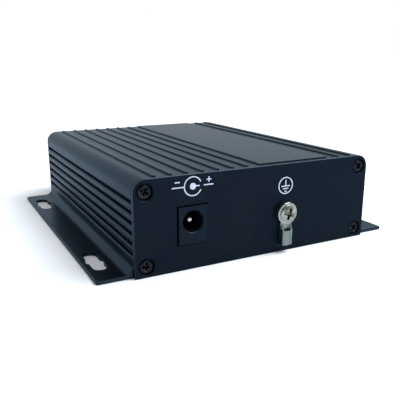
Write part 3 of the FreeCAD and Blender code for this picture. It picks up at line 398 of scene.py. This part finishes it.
def ink(name, shapes):
    """Shapes of ink on the power panel, each a list of loops with its outline first."""
    mesh = bmesh.new()
    for loops in shapes:
        edges = []
        for loop in loops:
            verts = [mesh.verts.new(Vector((x, PANEL_FACE, z)) * MM) for x, z in loop]
            edges += [mesh.edges.new((verts[i - 1], verts[i])) for i in range(len(verts))]
        bmesh.ops.triangle_fill(mesh, edges=edges, use_beauty=True, use_dissolve=True)
    raised = bmesh.ops.extrude_face_region(mesh, geom=mesh.faces[:])
    moved = [item for item in raised["geom"] if isinstance(item, bmesh.types.BMVert)]
    bmesh.ops.translate(mesh, verts=moved, vec=Vector((0, -INK_THICKNESS, 0)) * MM)
    in_scene(name, mesh, white_ink)


STROKE = 0.33
EARTH = (8.25, 21.15)
EARTH_RADIUS = 2.68
EARTH_STEM = 1.75
EARTH_BAR = 1.55
# Half length of each lower bar of the earth sign, and how far it lies below the sign's middle
LOWER_BARS = ((1.0, 0.8), (0.45, 1.6))
POLARITY = (-23.47, 24.5)
POLARITY_RADIUS = 2.85
POLARITY_GAP = 25
POLARITY_DOT = 0.95
POLARITY_TAIL = 2.1
# How far from the polarity sign's middle its right lead starts and both leads end
LEAD_START = 3.4
LEAD_END = 6.45
MINUS_ACROSS = -4.8
PLUS_ACROSS = 5.0
MARK_RISE = 1.5
MARK_ARM = 0.75


def earth_sign():
    """A ring round an upright stem on three level bars, each shorter than the one above."""
    x, z = EARTH
    half = STROKE / 2
    reach = EARTH_BAR
    stemmed_bar = [
        (x - reach, z - STROKE), (x + reach, z - STROKE), (x + reach, z), (x + half, z),
        (x + half, z + EARTH_STEM), (x - half, z + EARTH_STEM), (x - half, z), (x - reach, z),
    ]
    shapes = [ring(x, z, EARTH_RADIUS, STROKE), [stemmed_bar]]
    for half_length, drop in LOWER_BARS:
        shapes.append(bar(x - half_length, z - drop - STROKE, x + half_length, z - drop))
    return shapes


def dot_with_tail(across, up, radius, tail, half):
    """A dot with a bar on its right, as one outline. tail is where the bar ends, and half its half width."""
    meeting = math.degrees(math.asin(half / radius))
    return [arc(across, up, radius, meeting, 360 - meeting) + [(tail, up - half), (tail, up + half)]]


def plus(across, up, arm, half):
    """A plus sign with arms of one length and half width."""
    quarter = [(half, half), (half, arm), (-half, arm)]
    outline = []
    for cosine, sine in ((1, 0), (0, 1), (-1, 0), (0, -1)):
        outline += [(across + cosine * a - sine * b, up + sine * a + cosine * b) for a, b in quarter]
    return [outline]


def polarity_sign():
    """An open ring for the plug's sleeve, a dot for its centre, and a lead to a minus and to a plus."""
    x, z = POLARITY
    half = STROKE / 2
    level = z + MARK_RISE
    minus = x + MINUS_ACROSS
    return [
        open_ring(x, z, POLARITY_RADIUS, STROKE, POLARITY_GAP),
        dot_with_tail(x, z, POLARITY_DOT, x + POLARITY_TAIL, half),
        bar(x + LEAD_START, z - half, x + LEAD_END, z + half),
        bar(x - LEAD_END, z - half, x - POLARITY_RADIUS, z + half),
        bar(minus - MARK_ARM, level - half, minus + MARK_ARM, level + half),
        plus(x + PLUS_ACROSS, level, MARK_ARM, half),
    ]


ink("earth_sign", earth_sign())
ink("polarity_sign", polarity_sign())


# Threads of the sockets on the port panel


THREAD_STEPS = 48
# Half widths of a thread's ridge as shares of its pitch, and how far its foot is sunk in the barrel
RIDGE_FOOT = 0.48
RIDGE_CREST = 0.08
RIDGE_SUNK = 0.05


def thread(name, barrel, start, end, root, crest, pitch):
    """A nickel plated screw thread: one ridge wound round a barrel along Y, fading out at both ends.

    barrel names the CAD piece that the thread is centred on. start and end are heights above the port panel.
    """
    low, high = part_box(barrel)
    across = (low.x + high.x) / 2 / MM
    up = (low.z + high.z) / 2 / MM
    foot = root - RIDGE_SUNK
    turns = (end - start) / pitch - 1
    count = int(turns * THREAD_STEPS)
    mesh = bmesh.new()
    rows = []
    for i in range(count + 1):
        angle = 2 * math.pi * i / THREAD_STEPS
        fade = min(1.0, 2 * i / THREAD_STEPS, 2 * (count - i) / THREAD_STEPS)
        top = root + (crest - root) * fade
        middle = PORT_FACE + start + pitch / 2 + pitch * i / THREAD_STEPS
        row = []
        profile = ((foot, -RIDGE_FOOT), (top, -RIDGE_CREST), (top, RIDGE_CREST), (foot, RIDGE_FOOT))
        for radius, along in profile:
            place = (across + radius * math.cos(angle), middle + along * pitch, up + radius * math.sin(angle))
            row.append(mesh.verts.new(Vector(place) * MM))
        rows.append(row)
    for first, second in zip(rows, rows[1:]):
        for i in range(4):
            mesh.faces.new((first[i - 1], first[i], second[i], second[i - 1]))
    mesh.faces.new(rows[0])
    mesh.faces.new(rows[-1])
    in_scene(name, mesh, nickel_plate)


VIDEO_JACKS = 4
for i in range(1, VIDEO_JACKS + 1):
    thread(
        f"video_jack_{i}_thread", f"video_jack_{i}_insulator", start=2.6, end=6.0, root=6.05, crest=6.35,
        pitch=0.907,
    )
thread("fibre_port_thread", "fibre_port_sleeve", start=1.8, end=9.6, root=3.76, crest=4.0, pitch=0.75)


# Studio


CAMERA_PLACE = (-87.3, -177.3, 58.9)
CAMERA_YAW = 27.69
CAMERA_PITCH = -15.21
CAMERA_LENS = 47.26
SENSOR_WIDTH = 36.0
CLIP_START = 10.0
# The floor's own glow, and the distances from the object between which it rises
LIFT_NEAR = 0.1
LIFT_FAR = 0.5
LIFT_START = 0.1
LIFT_END = 0.8
FLOOR_REACH = 30.0
# The surround's brightness in front and behind, how far its change reaches to both sides of the middle, and
# the heights between which its low wall fades, all three as sines of an angle
WORLD_FRONT = 0.25
WORLD_BEHIND = 1.0
WORLD_TURN = 0.6
WALL_TOP = 0.15
WALL_END = 0.35
KEY_PLACE = (0.36, -0.22, 0.62)
KEY_SIZE = 0.45
KEY_POWER = 7.0


def studio_floor():
    """A wide pale floor that the camera, and what mirrors it, sees as white, apart from the shadow."""
    data = bpy.data.meshes.new("studio_floor")
    reach = FLOOR_REACH
    corners = [(-reach, -reach, 0), (reach, -reach, 0), (reach, reach, 0), (-reach, reach, 0)]
    data.from_pydata(corners, [], [(0, 1, 2, 3)])
    pale = bpy.data.materials.new("matt_white_paper")
    pale.use_nodes = True
    tree = pale.node_tree
    shader = tree.nodes["Principled BSDF"]
    shader.inputs["Base Color"].default_value = colour("#e2e9f0")
    shader.inputs["Roughness"].default_value = 0.9
    shader.inputs["Emission Color"].default_value = colour("#ffffff")
    path = add(tree, "LightPath", {}).outputs
    seen = path["Is Camera Ray"]
    for kind in ("Is Glossy Ray", "Is Transmission Ray"):
        seen = add(tree, "Math", {0: seen, 1: path[kind]}, operation="ADD").outputs[0]
    place = add(tree, "TexCoord", {}).outputs["Object"]
    away = add(tree, "VectorMath", {0: place}, operation="LENGTH").outputs["Value"]
    lift = add(tree, "MapRange", {
        "Value": away, "From Min": LIFT_START, "From Max": LIFT_END, "To Min": LIFT_NEAR, "To Max": LIFT_FAR,
    }).outputs["Result"]
    glow = add(tree, "Math", {0: seen, 1: lift}, operation="MULTIPLY").outputs[0]
    tree.links.new(glow, shader.inputs["Emission Strength"])
    data.materials.append(pale)
    floor = bpy.data.objects.new("studio_floor", data)
    bpy.context.scene.collection.objects.link(floor)


def studio_world():
    """A soft surround: white behind the object, dim on the camera's side, with a low white wall all round."""
    world = bpy.data.worlds.new("studio")
    world.use_nodes = True
    tree = world.node_tree
    behind = Vector((math.sin(math.radians(CAMERA_YAW)), math.cos(math.radians(CAMERA_YAW)), 0.0))
    way = add(tree, "TexCoord", {}).outputs["Generated"]
    facing = add(tree, "VectorMath", {0: way, 1: behind}, operation="DOT_PRODUCT").outputs["Value"]
    level = add(tree, "MapRange", {
        "Value": facing, "From Min": -WORLD_TURN, "From Max": WORLD_TURN,
        "To Min": WORLD_FRONT, "To Max": WORLD_BEHIND,
    }, interpolation_type="SMOOTHSTEP").outputs["Result"]
    height = add(tree, "SeparateXYZ", {"Vector": way}).outputs["Z"]
    wall = add(tree, "MapRange", {
        "Value": height, "From Min": WALL_TOP, "From Max": WALL_END, "To Min": 1.0, "To Max": 0.0,
    }, interpolation_type="SMOOTHSTEP").outputs["Result"]
    level = add(tree, "Math", {0: level, 1: wall}, operation="MAXIMUM").outputs[0]
    tree.links.new(level, tree.nodes["Background"].inputs["Strength"])
    tree.nodes["Background"].inputs["Color"].default_value = colour("#ffffff")
    bpy.context.scene.world = world


def soft_box(name, place, target, size, power):
    """A square soft box, placed and aimed in metres."""
    lamp = bpy.data.lights.new(name, "AREA")
    lamp.size = size
    lamp.energy = power
    obj = bpy.data.objects.new(name, lamp)
    obj.location = place
    obj.rotation_euler = (Vector(target) - Vector(place)).to_track_quat("-Z", "Y").to_euler()
    bpy.context.scene.collection.objects.link(obj)


def camera():
    """The photograph's viewpoint: yaw turns right from +Y, and a negative pitch looks down."""
    lens = bpy.data.cameras.new("camera")
    lens.lens = CAMERA_LENS
    lens.sensor_width = SENSOR_WIDTH
    lens.clip_start = CLIP_START * MM
    obj = bpy.data.objects.new("camera", lens)
    obj.location = Vector(CAMERA_PLACE) * MM
    obj.rotation_euler = (math.radians(90 + CAMERA_PITCH), 0, math.radians(-CAMERA_YAW))
    bpy.context.scene.collection.objects.link(obj)
    bpy.context.scene.camera = obj


camera()
studio_floor()
studio_world()
soft_box("key_soft_box", KEY_PLACE, (0, 0, 0), KEY_SIZE, KEY_POWER)
bpy.context.scene.view_settings.view_transform = "Standard"
